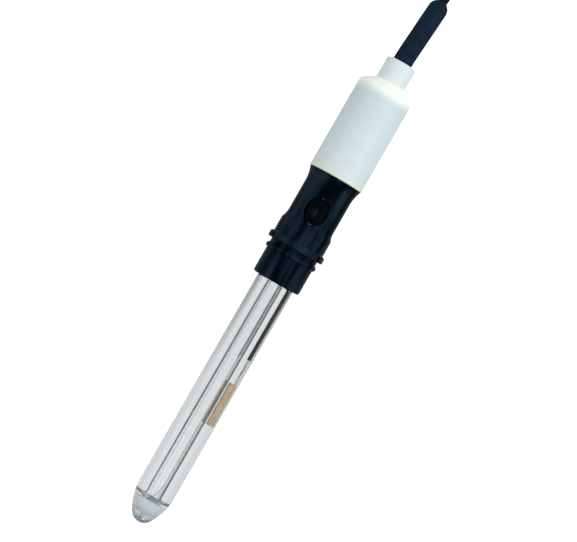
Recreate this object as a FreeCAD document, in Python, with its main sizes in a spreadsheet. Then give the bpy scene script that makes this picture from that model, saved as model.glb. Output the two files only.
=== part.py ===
import FreeCAD, Part
import Sketcher
import math
import os
import re

# A redox electrode: a blown glass body with a platinum tip and an annular reference
# chamber, a black head with a filling port, a white cap, and a cable with a coaxial plug.
# Each piece of the electrode is drawn along X from the tip, x = 0, and is then laid down:
# the finished electrode rests on its nose and on the flange of its head.
# Lengths are in millimetres. Stations named _x are measured from the tip.

SIZES = {
    # glass
    "glass_diameter": 12.0,
    "glass_wall": 1.0,
    "nose_length": 11.5,
    "tip_radius": 3.8,
    "nose_floor_x": 3.7,
    "nose_corner": 1.2,
    "chamber_floor_x": 8.4,
    "inner_tube_diameter": 4.7,
    "inner_tube_wall": 0.7,
    "seat_inset": 0.25,
    "seat_lead": 0.3,
    "glass_recess": 3.7,
    "inner_tube_rise": 5.5,
    "sealed_gap": 0.01,
    # platinum tip and its lead
    "platinum_diameter": 4.2,
    "platinum_end_x": 2.2,
    "stem_diameter": 1.0,
    "stem_end_x": 5.0,
    "lead_diameter": 0.4,
    "lead_offset": 1.35,
    "lead_joint_offset": 0.5,
    # junction and reference parts
    "junction_x": 11.0,
    "junction_diameter": 1.0,
    "cartridge_x": 35.7,
    "cartridge_length": 14.3,
    "cartridge_diameter": 2.3,
    "cartridge_offset": 3.75,
    "silver_diameter": 0.5,
    "silver_offset": 4.1,
    "silver_depth": 5.0,
    "sleeve_x": 58.5,
    "sleeve_recess": 0.5,
    "sleeve_diameter": 1.1,
    # closures inside the head
    "chamber_plug_length": 3.8,
    "plug_clearance": 0.05,
    "tube_plug_depth": 3.0,
    "tube_plug_cap": 1.5,
    # head
    "head_x": 82.7,
    "head_clearance": 0.05,
    "collar_diameter": 15.6,
    "collar_length": 9.2,
    "collar_chamfer": 0.5,
    "bead_diameter": 17.0,
    "bead_width": 1.8,
    "bead_to_flange": 3.3,
    "flange_diameter": 18.5,
    "flange_width": 2.1,
    "flange_round": 0.35,
    "shoulder_diameter": 16.8,
    "shoulder_length": 6.1,
    "shoulder_slope": 2.9,
    "waist_diameter": 15.4,
    "waist_length": 9.8,
    "flare_length": 4.75,
    "head_end_diameter": 17.3,
    "lip_length": 2.0,
    "lip_bore": 9.8,
    "spigot_clearance": 0.1,
    "spigot_wall": 1.8,
    "spigot_length": 5.8,
    # seal rings
    "ring_section": 0.8,
    "ring_land": 1.3,
    "cap_ring_offset": 2.8,
    "groove_width": 1.0,
    "ring_gap": 0.03,
    # filling port and its stopper
    "port_offset": 3.0,
    "port_length": 9.0,
    "port_width": 7.1,
    "port_hole_diameter": 4.5,
    "stopper_gap": 0.3,
    "stopper_depth": 0.7,
    "shank_diameter": 4.2,
    "shank_length": 1.9,
    "grip_length": 5.6,
    "grip_width": 1.0,
    "grip_height": 0.55,
    # cap and neck
    "seam": 0.05,
    "cap_diameter": 17.7,
    "cap_wall": 1.25,
    "cap_edge": 0.25,
    "cap_length": 29.55,
    "cap_round": 1.5,
    "cap_slope": 35.0,
    "neck_diameter": 9.6,
    "neck_length": 7.25,
    "neck_round": 0.6,
    "neck_wall": 1.4,
    # cable, its boot and what holds it
    "cable_diameter": 3.0,
    "cable_clearance": 0.05,
    "boot_clearance": 0.15,
    "boot_diameter": 6.2,
    "boot_length": 22.3,
    "boot_bend_radius": 40.0,
    "boot_turn": 4.0,
    "boot_flange_diameter": 9.2,
    "boot_flange_length": 2.0,
    "clamp_diameter": 4.6,
    "clamp_length": 3.6,
    "jacket_bare": 2.35,
    "insulation_diameter": 1.8,
    "insulation_bare": 5.0,
    "core_diameter": 0.5,
    "core_overlap": 1.1,
    "splice_gap": 6.4,
    "splice_length": 5.0,
    "splice_bore": 1.16,
    "splice_side": 0.25,
    "splice_wall": 0.35,
    "wire_tail": 0.6,
    "screen_diameter": 0.6,
    "screen_offset": 3.5,
    "screen_splice_bore": 1.3,
    "lead_straight": 8.8,
    # hank of cable and its tie
    "hank_x": 127.0,
    "hank_straight": 24.0,
    "hank_turn_radius": 9.0,
    "hank_column": 2.6,
    "hank_layers": 4,
    "tie_thickness": 0.5,
    "tie_width": 5.0,
    "tie_clearance": 0.05,
    # coaxial plug, measured from the rear of its boot
    "plug_x": 160.5,
    "plug_side": 5.85,
    "plug_boot_length": 15.5,
    "plug_boot_rear": 4.4,
    "plug_boot_front": 7.8,
    "plug_boot_band": 2.5,
    "ferrule_x": 7.6,
    "ferrule_diameter": 5.4,
    "ferrule_wall": 0.4,
    "crimp_inset": 1.0,
    "body_diameter": 9.2,
    "body_length": 7.0,
    "body_edge": 0.3,
    "plug_neck_diameter": 8.2,
    "plug_neck_length": 5.0,
    "plug_collar_width": 1.5,
    "plug_collar_diameter": 9.5,
    "contact_length": 9.5,
    "contact_diameter": 8.1,
    "contact_wall": 0.6,
    "contact_edge": 0.4,
    "finger_slot": 0.5,
    "finger_land": 2.0,
    "insulator_length": 8.0,
    "insulator_nose": 2.5,
    "insulator_nose_wall": 1.4,
    "gasket_width": 1.2,
    "ring_setback": 1.7,
    "ring_reach": 1.5,
    "ring_diameter": 14.5,
    "ring_barrel_diameter": 13.8,
    "ring_bore": 10.0,
    "ring_edge": 0.4,
    "ring_lip": 1.8,
    "grip_band": 7.0,
    "running_gap": 0.08,
    "knurl_depth": 0.35,
    "knurl_count": 28,
    "pin_diameter": 1.36,
    "pin_reach": 1.5,
    "bayonet_width": 2.3,
    "bayonet_entry": 1.2,
    "bayonet_depth": 6.6,
    "bayonet_turn": 80.0,
    "bayonet_steps": 12,
}

# Stations that follow from the sizes, each row from the ones above it. The slope from the
# cap's shoulder ends where the neck's fillet starts.
STATIONS = {
    "narrowing_x": "head_x - seat_lead",
    "bead_x": "head_x + collar_length",
    "flange_x": "bead_x + bead_to_flange",
    "shoulder_end_x": "flange_x + shoulder_length",
    "waist_x": "shoulder_end_x + shoulder_slope",
    "waist_end_x": "waist_x + waist_length",
    "head_end_x": "waist_end_x + flare_length",
    "glass_end_x": "head_end_x - glass_recess",
    "inner_tube_end_x": "glass_end_x + inner_tube_rise",
    "port_x": "waist_x + port_offset",
    "lower_ring_x": "port_x - port_length / 2 - ring_land",
    "upper_ring_x": "port_x + port_length / 2 + ring_land",
    "cap_ring_x": "head_end_x + cap_ring_offset",
    "sleeve_end_x": "head_end_x + spigot_length - sleeve_recess",
    "cap_shoulder_x": "head_end_x + cap_length",
    "slope_x": "cap_shoulder_x + cap_round * cos(cap_slope)",
    "slope_r": "cap_diameter / 2 - cap_round + cap_round * sin(cap_slope)",
    "neck_x": "slope_x + (slope_r - neck_diameter / 2 - neck_round) * tan(cap_slope)",
    "neck_end_x": "neck_x + neck_length",
    "neck_wall_end": "neck_x - neck_wall",
    "boot_flange_x": "neck_wall_end - boot_flange_length - cable_clearance",
    "jacket_x": "boot_flange_x - clamp_length - jacket_bare",
    "insulation_x": "jacket_x - insulation_bare",
    "splice_x": "inner_tube_end_x + splice_gap",
    "core_x": "splice_x + core_overlap",
    "wire_end_x": "splice_x + splice_length + wire_tail",
    "crimp_x": "ferrule_x + crimp_inset",
    "body_end": "plug_boot_length + body_length",
    "plug_collar": "body_end + plug_neck_length",
    "sleeve_front": "plug_collar + plug_collar_width + contact_length",
    "insulator_front": "plug_collar + insulator_length",
    "pin_front": "insulator_front + pin_reach",
    "ring_rear": "body_end + ring_setback",
    "ring_front": "sleeve_front + ring_reach",
    "bayonet_hole_x": "ring_front - bayonet_depth",
}

# The cord's route, chosen by hand, in the row's own frame. The free cable leaves the boot,
# runs to the top turn of the hank, and from the hank's far end to the plug.
LEAD_ROUTE = [(110.6, -10.2, 12.9), (121.0, -11.6, 12.8)]
TAIL_ROUTE = [(131.5, -11.6, 9.8), (141.5, -12.0, 9.7), (152.5, -6.3, 7.6)]

document = FreeCAD.newDocument("redox_electrode")
sheet = document.addObject("Spreadsheet::Sheet", "Sizes")
parts = []


def fill_sheet():
    cells = {name: str(size) for name, size in SIZES.items()}
    cells.update({name: "=" + text for name, text in STATIONS.items()})
    for row, (name, content) in enumerate(cells.items(), start=1):
        sheet.set(f"A{row}", name)
        sheet.set(f"B{row}", content)
        sheet.setAlias(f"B{row}", name)
    document.recompute()


def bound(text):
    """The expression with the name of each size and station led to its cell."""
    names = SIZES.keys() | STATIONS.keys()
    return re.sub(r"[a-z_]+", lambda m: f"Sizes.{m[0]}" if m[0] in names else m[0], text)


def value(text):
    return float(sheet.evalExpression(bound(text)))


# Expressions that several pieces share.
GLASS_R = "(glass_diameter / 2)"
BORE_R = f"({GLASS_R} - glass_wall)"
TUBE_R = "(inner_tube_diameter / 2)"
TUBE_BORE_R = f"({TUBE_R} - inner_tube_wall)"
NOSE_ARC = (
    f"((nose_length^2 - 2 * nose_length * tip_radius + {GLASS_R}^2)"
    f" / (2 * {GLASS_R} - 2 * tip_radius))"
)
SEAT_R = "(platinum_diameter / 2 + sealed_gap)"
STEM_HOLE_R = "(stem_diameter / 2 + sealed_gap)"
SLEEVE_HOLE_R = "(sleeve_diameter / 2 + plug_clearance)"
SEATED_R = f"({GLASS_R} - seat_inset)"
HEAD_BORE_R = f"({SEATED_R} + head_clearance)"
LIP_X = "(glass_end_x + head_clearance)"
LIP_END_X = f"({LIP_X} + lip_length)"
SPIGOT_END_X = "(head_end_x + spigot_length)"
WAIST_R = "(waist_diameter / 2)"
CAP_R = "(cap_diameter / 2)"
CAP_BORE_R = f"({CAP_R} - cap_wall)"
SPIGOT_R = f"({CAP_BORE_R} - spigot_clearance)"
SPIGOT_BORE_R = f"({SPIGOT_R} - spigot_wall)"
NECK_R = "(neck_diameter / 2)"
BOOT_R = "(boot_diameter / 2)"
CABLE_R = "(cable_diameter / 2)"
CABLE_HOLE_R = f"({CABLE_R} + cable_clearance)"


def arc_between(start, end, radius):
    """An arc from start to end. A positive radius turns left on the way, a negative right."""
    chord = end - start
    half = chord.Length / 2
    rise = abs(radius) - math.sqrt(max(radius * radius - half * half, 0.0))
    side = FreeCAD.Vector(chord.y, -chord.x, 0).normalize()
    middle = (start + end) / 2 + side * math.copysign(rise, radius)
    if radius > 0:
        return Part.Arc(start, middle, end)
    return Part.Arc(end, middle, start)


def ends_of(edge, start):
    """The numbers of the edge's points, the one at the corner first."""
    if (edge.StartPoint - start).Length < 1e-6:
        return 1, 2
    return 2, 1


def hold_point(sketch, edge, point, place):
    """Holds one point of the sketch at the expressions of its place."""
    for axis, text, kind in ((-2, place[0], "DistanceX"), (-1, place[1], "DistanceY")):
        if text == "0":
            sketch.addConstraint(Sketcher.Constraint("PointOnObject", edge, point, axis))
            continue
        rule = Sketcher.Constraint(kind, -1, 1, edge, point, value(text))
        index = sketch.addConstraint(rule)
        sketch.setExpression(f"Constraints[{index}]", bound(text))


def draw_outline(sketch, corners):
    """A closed outline. A corner with a third entry is reached by an arc of that radius."""
    spots = [FreeCAD.Vector(value(c[0]), value(c[1]), 0) for c in corners]
    targets = corners[1:] + corners[:1]
    edges = []
    for start, end, target in zip(spots, spots[1:] + spots[:1], targets, strict=True):
        if len(target) == 3:
            edges.append(arc_between(start, end, value(target[2])))
        else:
            edges.append(Part.LineSegment(start, end))
        sketch.addGeometry(edges[-1])
    ends = [ends_of(edge, spot) for edge, spot in zip(edges, spots, strict=True)]
    for i, target in enumerate(targets):
        hold_point(sketch, i, ends[i][0], corners[i])
        if len(target) == 3:
            text = target[2].lstrip("-")
            index = sketch.addConstraint(Sketcher.Constraint("Radius", i, value(text)))
            sketch.setExpression(f"Constraints[{index}]", bound(text))
    for i in range(len(corners)):
        after = (i + 1) % len(corners)
        rule = Sketcher.Constraint("Coincident", i, ends[i][1], after, ends[after][0])
        sketch.addConstraint(rule)


def plane_of(body, role):
    return next(o for o in body.Origin.OriginFeatures if o.Role == role)


def turned(name, corners):
    """A body of revolution about X from its half outline."""
    body = document.addObject("PartDesign::Body", name + "_turned")
    sketch = body.newObject("Sketcher::SketchObject", name + "_outline")
    sketch.AttachmentSupport = [(plane_of(body, "XY_Plane"), "")]
    sketch.MapMode = "FlatFace"
    draw_outline(sketch, corners)
    turn = body.newObject("PartDesign::Revolution", name + "_turn")
    turn.Profile = sketch
    turn.ReferenceAxis = (sketch, ["H_Axis"])
    turn.Angle = 360
    document.recompute()
    return body


def tube(name, start, end, outer, inner):
    return turned(name, [(start, inner), (end, inner), (end, outer), (start, outer)])


def rod(name, start, end, radius):
    return turned(name, [(start, "0"), (end, "0"), (end, radius), (start, radius)])


def drill(name, radius, height, place, direction):
    """A cylinder used as a tool, with its size and place in the sheet."""
    tool = document.addObject("Part::Cylinder", name)
    tool.setExpression("Radius", bound(radius))
    tool.setExpression("Height", bound(height))
    tool.Placement.Rotation = FreeCAD.Rotation(FreeCAD.Vector(0, 0, 1), direction)
    for axis, text in zip("xyz", place, strict=True):
        tool.setExpression(f"Placement.Base.{axis}", bound(text))
    return tool


def block(name, size, place):
    """A box with its size and lowest corner in the sheet."""
    box = document.addObject("Part::Box", name)
    for side, text in zip(("Length", "Width", "Height"), size, strict=True):
        box.setExpression(side, bound(text))
    for axis, text in zip("xyz", place, strict=True):
        box.setExpression(f"Placement.Base.{axis}", bound(text))
    return box


def oval(name, gap, start, height):
    """An oval column over the port, smaller all round by the gap."""
    outline = document.addObject("Part::Ellipse", name + "_outline")
    outline.setExpression("MajorRadius", bound(f"port_length / 2 - {gap}"))
    outline.setExpression("MinorRadius", bound(f"port_width / 2 - {gap}"))
    outline.setExpression("Placement.Base.x", bound("port_x"))
    outline.setExpression("Placement.Base.z", bound(start))
    column = document.addObject("Part::Extrusion", name)
    column.Base = outline
    column.DirMode = "Custom"
    column.Dir = FreeCAD.Vector(0, 0, 1)
    column.setExpression("LengthFwd", bound(height))
    column.Solid = True
    return column


def joined(name, pieces):
    result = document.addObject("Part::MultiFuse", name)
    result.Shapes = pieces
    return result


def cut(name, base, tools):
    """The base with every tool taken away."""
    result = document.addObject("Part::Cut", name + "_cut")
    result.Base = base
    result.Tool = tools[0] if len(tools) == 1 else joined(name + "_tools", tools)
    document.recompute()
    return result


def swept_piece(name, shape):
    piece = document.addObject("Part::Feature", name)
    piece.Shape = shape
    return piece


def finish(piece, label, placement):
    """Names a finished piece, puts it in its place and keeps it for the files."""
    piece.Label = label
    piece.Placement = placement
    parts.append(piece)


def route_wire(points, name):
    """Straight runs joined by tangent arcs as large as their two runs allow."""
    spots = [FreeCAD.Vector(*p) for p in points]
    edges = []
    radii = []
    last = spots[0]
    for before, corner, after in zip(spots, spots[1:], spots[2:]):
        back = before - corner
        ahead = after - corner
        run = 0.45 * min(back.Length, ahead.Length)
        turn = math.pi - back.getAngle(ahead)
        radius = run / math.tan(turn / 2)
        back.normalize()
        ahead.normalize()
        start = corner + back * run
        end = corner + ahead * run
        inward = (back + ahead).normalize()
        middle = corner + inward * (radius / math.cos(turn / 2) - radius)
        edges.append(Part.LineSegment(last, start).toShape())
        edges.append(Part.Arc(start, middle, end).toShape())
        radii.append(round(radius, 1))
        last = end
    edges.append(Part.LineSegment(last, spots[-1]).toShape())
    print(name, "arc radii", radii)
    return Part.Wire(edges)


def swept(wire, radius, name):
    """A round section carried along the wire, its volume compared with its length."""
    first = wire.Edges[0]
    start = first.valueAt(first.FirstParameter)
    ahead = first.tangentAt(first.FirstParameter)
    section = Part.Wire([Part.Circle(start, ahead, radius).toShape()])
    shape = wire.makePipeShell([section], True, False)
    expected = math.pi * radius * radius * wire.Length
    print(name, "volume", round(shape.Volume, 2), "of", round(expected, 2))
    return shape


def nose_radius(station, inset="0"):
    """Radius of the long arc of the nose at a station, inset by a wall if one is given."""
    return (
        f"(sqrt(({NOSE_ARC} - {inset})^2 - (nose_length - ({station}))^2)"
        f" + {GLASS_R} - {NOSE_ARC})"
    )


def glass_body(lying):
    """One blown piece: outer tube, nose, ring seal and inner tube, with its three holes."""
    lean = f"(tip_radius / ({NOSE_ARC} - tip_radius))"
    meet_x = f"(tip_radius - (nose_length - tip_radius) * {lean})"
    meet_r = f"(({NOSE_ARC} - {GLASS_R}) * {lean})"
    floor_r = f"(({BORE_R} - {TUBE_R}) / 2)"
    middle = f"(({BORE_R} + {TUBE_R}) / 2)"
    bend_x = f"(chamber_floor_x + {floor_r})"
    under_x = "(chamber_floor_x - inner_tube_wall)"
    corner_x = "(nose_floor_x + nose_corner)"
    corner_r = nose_radius(corner_x, "glass_wall")
    seat_x = f"(tip_radius - sqrt(tip_radius^2 - {SEAT_R}^2))"
    blown = turned("glass", [
        (seat_x, SEAT_R),
        (meet_x, meet_r, "-tip_radius"),
        ("nose_length", GLASS_R, f"-{NOSE_ARC}"),
        ("narrowing_x", GLASS_R),
        ("(narrowing_x + seat_inset)", SEATED_R),
        ("glass_end_x", SEATED_R),
        ("glass_end_x", BORE_R),
        (bend_x, BORE_R),
        ("chamber_floor_x", middle, floor_r),
        (bend_x, TUBE_R, floor_r),
        ("inner_tube_end_x", TUBE_R),
        ("inner_tube_end_x", TUBE_BORE_R),
        (bend_x, TUBE_BORE_R),
        (under_x, middle, f"-({floor_r} + inner_tube_wall)"),
        (under_x, nose_radius(under_x, "glass_wall")),
        (corner_x, corner_r, f"({NOSE_ARC} - glass_wall)"),
        ("nose_floor_x", f"({corner_r} - nose_corner)", "(1.3 * nose_corner)"),
        ("nose_floor_x", STEM_HOLE_R),
        ("(platinum_end_x + sealed_gap)", STEM_HOLE_R),
        ("(platinum_end_x + sealed_gap)", SEAT_R),
    ])
    filling = drill(
        "filling_hole", "port_hole_diameter / 2", "glass_diameter",
        ("port_x", "0", middle), FreeCAD.Vector(0, 0, 1),
    )
    junction = drill(
        "junction_hole", "junction_diameter / 2 + sealed_gap", "2 * glass_wall",
        ("junction_x", f"{BORE_R} - glass_wall / 2", "0"), FreeCAD.Vector(0, 1, 0),
    )
    finish(cut("glass", blown, [filling, junction]), "glass_body", lying)


def platinum_parts(lying):
    edge_x = "(tip_radius - sqrt(tip_radius^2 - (platinum_diameter / 2)^2))"
    tip = turned("platinum", [
        ("0", "0"),
        (edge_x, "platinum_diameter / 2", "-tip_radius"),
        ("platinum_end_x", "platinum_diameter / 2"),
        ("platinum_end_x", "stem_diameter / 2"),
        ("stem_end_x", "stem_diameter / 2"),
        ("stem_end_x", "0"),
    ])
    finish(tip, "platinum_tip", lying)
    side = -value("lead_offset")
    joint = -value("lead_joint_offset")
    start = value("stem_end_x")
    top = value("inner_tube_end_x + tube_plug_cap")
    route = [
        (start, 0, 0),
        (start + 3, 0, 0),
        (start + 8, side, 0),
        (top + 1, side, 0),
        (top + 4.5, joint, 0),
        (value("wire_end_x"), joint, 0),
    ]
    shape = swept(route_wire(route, "platinum lead"), value("lead_diameter / 2"), "platinum lead")
    finish(swept_piece("platinum_lead", shape), "platinum_lead", lying)


def reference_parts(lying):
    """The junction in the left wall, and the reference cartridge and its lead on the right."""
    junction = rod("junction", "0", "glass_wall - 3 * sealed_gap", "junction_diameter / 2")
    turn = FreeCAD.Rotation(FreeCAD.Vector(1, 0, 0), FreeCAD.Vector(0, 1, 0))
    place = FreeCAD.Vector(value("junction_x"), value(BORE_R), 0)
    finish(junction, "ceramic_junction", lying.multiply(FreeCAD.Placement(place, turn)))

    wire_end = "(cartridge_x + cartridge_length - silver_depth)"
    cartridge_end = "(cartridge_x + cartridge_length)"
    core = rod("cartridge", "cartridge_x", cartridge_end, "cartridge_diameter / 2")
    hole = drill(
        "cartridge_hole", "silver_diameter / 2 + sealed_gap", "cartridge_length",
        (wire_end, "cartridge_offset - silver_offset", "0"), FreeCAD.Vector(1, 0, 0),
    )
    shift = FreeCAD.Placement(FreeCAD.Vector(0, -value("cartridge_offset"), 0), FreeCAD.Rotation())
    finish(cut("cartridge", core, [hole]), "reference_cartridge", lying.multiply(shift))

    shift = FreeCAD.Placement(FreeCAD.Vector(0, -value("silver_offset"), 0), FreeCAD.Rotation())
    wire = rod("silver", f"{wire_end} + sealed_gap", "wire_end_x", "silver_diameter / 2")
    finish(wire, "reference_wire", lying.multiply(shift))
    sleeve = tube(
        "sleeve", "sleeve_x", "sleeve_end_x",
        "sleeve_diameter / 2", "silver_diameter / 2 + sealed_gap",
    )
    finish(sleeve, "reference_sleeve", lying.multiply(shift))


def lead_hole(name, start, length, offset, radius):
    return drill(name, radius, length, (start, f"-{offset}", "0"), FreeCAD.Vector(1, 0, 0))


def closures(lying):
    """What closes the chamber and the inner tube, and the resin in the head's spigot."""
    start = "(glass_end_x - chamber_plug_length)"
    ring = tube(
        "chamber_plug", start, "glass_end_x",
        f"{BORE_R} - plug_clearance", f"{TUBE_R} + plug_clearance",
    )
    hole = lead_hole("chamber_plug_hole", start, "chamber_plug_length", "silver_offset", SLEEVE_HOLE_R)
    finish(cut("chamber_plug", ring, [hole]), "chamber_plug", lying)

    seat = "(inner_tube_end_x + sealed_gap)"
    stopper = turned("tube_plug", [
        ("(inner_tube_end_x - tube_plug_depth)", "0"),
        (f"({seat} + tube_plug_cap)", "0"),
        (f"({seat} + tube_plug_cap)", TUBE_R),
        (seat, TUBE_R),
        (seat, f"({TUBE_BORE_R} - plug_clearance)"),
        ("(inner_tube_end_x - tube_plug_depth)", f"({TUBE_BORE_R} - plug_clearance)"),
    ])
    hole = lead_hole(
        "tube_plug_hole", "inner_tube_end_x - tube_plug_depth - 1",
        "tube_plug_depth + tube_plug_cap + 3", "lead_offset", "lead_diameter / 2 + sealed_gap",
    )
    finish(cut("tube_plug", stopper, [hole]), "inner_tube_plug", lying)

    potting = tube(
        "potting", f"{LIP_END_X} + sealed_gap", "sleeve_end_x - plug_clearance",
        f"{SPIGOT_BORE_R} - plug_clearance", f"{TUBE_R} + plug_clearance",
    )
    hole = lead_hole("potting_hole", LIP_X, "sleeve_end_x", "silver_offset", SLEEVE_HOLE_R)
    finish(cut("potting", potting, [hole]), "potting_ring", lying)


def groove(station, surface, bottom):
    """The four corners of a ring's groove, walked toward the tip."""
    start = f"({station} - groove_width / 2)"
    end = f"({station} + groove_width / 2)"
    return [(end, surface), (end, bottom), (start, bottom), (start, surface)]


def seal_ring(name, station, radius, lying):
    ring = document.addObject("Part::Torus", name + "_torus")
    ring.setExpression("Radius1", bound(radius))
    ring.setExpression("Radius2", bound("ring_section / 2"))
    turn = FreeCAD.Rotation(FreeCAD.Vector(0, 0, 1), FreeCAD.Vector(1, 0, 0))
    place = FreeCAD.Placement(FreeCAD.Vector(value(station), 0, 0), turn)
    finish(ring, name, lying.multiply(place))


def electrode_head(lying):
    """The moulded head: collar, bead, flange, waist, and a spigot inside the cap."""
    collar = "(collar_diameter / 2)"
    bead_rise = "((bead_diameter - collar_diameter) / 2)"
    flange = "(flange_diameter / 2)"
    flange_start = "(flange_x - flange_width / 2)"
    flange_end = "(flange_x + flange_width / 2)"
    shoulder = "(shoulder_diameter / 2)"
    drop = f"({shoulder} - {WAIST_R})"
    flare = f"(head_end_diameter / 2 - {WAIST_R})"
    bore_groove = f"({SEATED_R} + ring_section + 2 * ring_gap)"
    cap_groove = f"({CAP_BORE_R} - ring_section - 2 * ring_gap)"
    down = f"(((waist_x - shoulder_end_x)^2 + {drop}^2) / (2 * {drop}))"
    up = f"(((head_end_x - waist_end_x)^2 + {flare}^2) / (2 * {flare}))"
    bead_arc = f"((bead_width^2 / 4 + {bead_rise}^2) / (2 * {bead_rise}))"
    corners = [
        ("head_x", HEAD_BORE_R),
        ("head_x", f"({collar} - collar_chamfer)"),
        ("(head_x + collar_chamfer)", collar),
        ("(bead_x - bead_width / 2)", collar),
        ("(bead_x + bead_width / 2)", collar, f"-{bead_arc}"),
        (flange_start, collar),
        (flange_start, f"({flange} - flange_round)"),
        (f"({flange_start} + flange_round)", flange, "-flange_round"),
        (f"({flange_end} - flange_round)", flange),
        (flange_end, f"({flange} - flange_round)", "-flange_round"),
        (f"({flange_end} + flange_round)", shoulder),
        ("shoulder_end_x", shoulder),
        ("waist_x", WAIST_R, down),
        ("waist_end_x", WAIST_R),
        ("head_end_x", "(head_end_diameter / 2)", up),
        ("head_end_x", SPIGOT_R),
    ]
    corners += reversed(groove("cap_ring_x", SPIGOT_R, cap_groove))
    corners += [
        (SPIGOT_END_X, SPIGOT_R),
        (SPIGOT_END_X, SPIGOT_BORE_R),
        (LIP_END_X, SPIGOT_BORE_R),
        (LIP_END_X, "(lip_bore / 2)"),
        (LIP_X, "(lip_bore / 2)"),
        (LIP_X, HEAD_BORE_R),
    ]
    corners += groove("upper_ring_x", HEAD_BORE_R, bore_groove)
    corners += groove("lower_ring_x", HEAD_BORE_R, bore_groove)
    shell = turned("head", corners)
    port = oval("head_port", "0", TUBE_R, "glass_diameter")
    finish(cut("head", shell, [port]), "electrode_head", lying)
    on_glass = f"{SEATED_R} + ring_gap + ring_section / 2"
    seal_ring("lower_seal_ring", "lower_ring_x", on_glass, lying)
    seal_ring("upper_seal_ring", "upper_ring_x", on_glass, lying)
    seal_ring("cap_seal_ring", "cap_ring_x", f"{CAP_BORE_R} - ring_gap - ring_section / 2", lying)


def filling_stopper(lying):
    """A rubber stopper: an oval cover on the glass, a shank in its hole and a grip rib."""
    seat = f"({SEATED_R} + ring_gap)"
    top = f"({WAIST_R} - stopper_depth)"
    column = oval("stopper_oval", "stopper_gap", TUBE_R, "glass_diameter")
    saddle = tube("stopper_saddle", "port_x - port_length", "port_x + port_length", top, seat)
    cover = document.addObject("Part::Common", "stopper_cover")
    cover.Base = column
    cover.Tool = saddle
    shank = drill(
        "stopper_shank", "shank_diameter / 2", f"shank_length + stopper_gap",
        ("port_x", "0", f"{seat} - shank_length"), FreeCAD.Vector(0, 0, 1),
    )
    rib = block(
        "stopper_rib", ("grip_length", "grip_width", "grip_height + stopper_gap"),
        ("port_x - grip_length / 2", "-grip_width / 2", f"{top} - stopper_gap"),
    )
    whole = joined("stopper", [cover, shank, rib])
    document.recompute()
    finish(whole, "filling_stopper", lying)


def white_cap(lying):
    """The cap with its rounded shoulder and neck, open below over the head's spigot."""
    start = "(head_end_x + seam)"
    cap = turned("cap", [
        (start, CAP_BORE_R),
        (start, f"({CAP_R} - cap_edge)"),
        (f"({start} + cap_edge)", CAP_R),
        ("cap_shoulder_x", CAP_R),
        ("slope_x", "slope_r", "-cap_round"),
        ("neck_x", f"({NECK_R} + neck_round)"),
        ("(neck_x + neck_round)", NECK_R, "neck_round"),
        ("(neck_end_x - neck_round)", NECK_R),
        ("neck_end_x", f"({NECK_R} - neck_round)", "-neck_round"),
        ("neck_end_x", f"({BOOT_R} + cable_clearance)"),
        ("neck_wall_end", f"({BOOT_R} + cable_clearance)"),
        ("neck_wall_end", "(boot_flange_diameter / 2 + 2 * cable_clearance)"),
        ("(cap_shoulder_x + cap_edge)", CAP_BORE_R),
    ])
    finish(cap, "white_cap", lying)


def boot_wire(start, beyond):
    """The line of the boot, from a station inside the cap to past its end."""
    turn = math.radians(value("boot_turn"))
    bend = value("boot_bend_radius")
    mouth = FreeCAD.Vector(value("neck_end_x"), 0, 0)
    middle = mouth + FreeCAD.Vector(math.sin(turn / 2), math.cos(turn / 2) - 1, 0) * bend
    bent = mouth + FreeCAD.Vector(math.sin(turn), math.cos(turn) - 1, 0) * bend
    heading = FreeCAD.Vector(math.cos(turn), -math.sin(turn), 0)
    tip = bent + heading * (value("boot_length") - bend * turn)
    wire = Part.Wire([
        Part.LineSegment(FreeCAD.Vector(start, 0, 0), mouth).toShape(),
        Part.Arc(mouth, middle, bent).toShape(),
        Part.LineSegment(bent, tip + heading * beyond).toShape(),
    ])
    return wire, tip, heading


def boot_and_cable_end(lying):
    """The bend protection boot with its round end, and the cable's end inside the cap."""
    radius = value(BOOT_R)
    flange_x = value("boot_flange_x")
    wire, tip, heading = boot_wire(flange_x, -radius)
    outside = swept(wire, radius, "boot")
    dome = Part.makeSphere(radius, tip - heading * radius, heading, 0, 90, 360)
    flange = Part.makeCylinder(
        value("boot_flange_diameter / 2"), value("boot_flange_length"),
        FreeCAD.Vector(flange_x, 0, 0), FreeCAD.Vector(1, 0, 0),
    )
    bore_r = value(f"{CABLE_R} + boot_clearance")
    bore = swept(boot_wire(flange_x - 1, 1)[0], bore_r, "boot bore")
    shape = outside.fuse([dome, flange]).removeSplitter().cut(bore)
    finish(swept_piece("boot", shape), "strain_relief_boot", lying)

    start = value("jacket_x")
    jacket = swept(boot_wire(start, 0)[0], value(CABLE_R), "jacket end")
    hollow = Part.makeCylinder(
        value("insulation_diameter / 2 + sealed_gap"), value("clamp_length + sealed_gap"),
        FreeCAD.Vector(start, 0, 0), FreeCAD.Vector(1, 0, 0),
    )
    finish(swept_piece("jacket", jacket.cut(hollow)), "cable_inner_end", lying)


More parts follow.
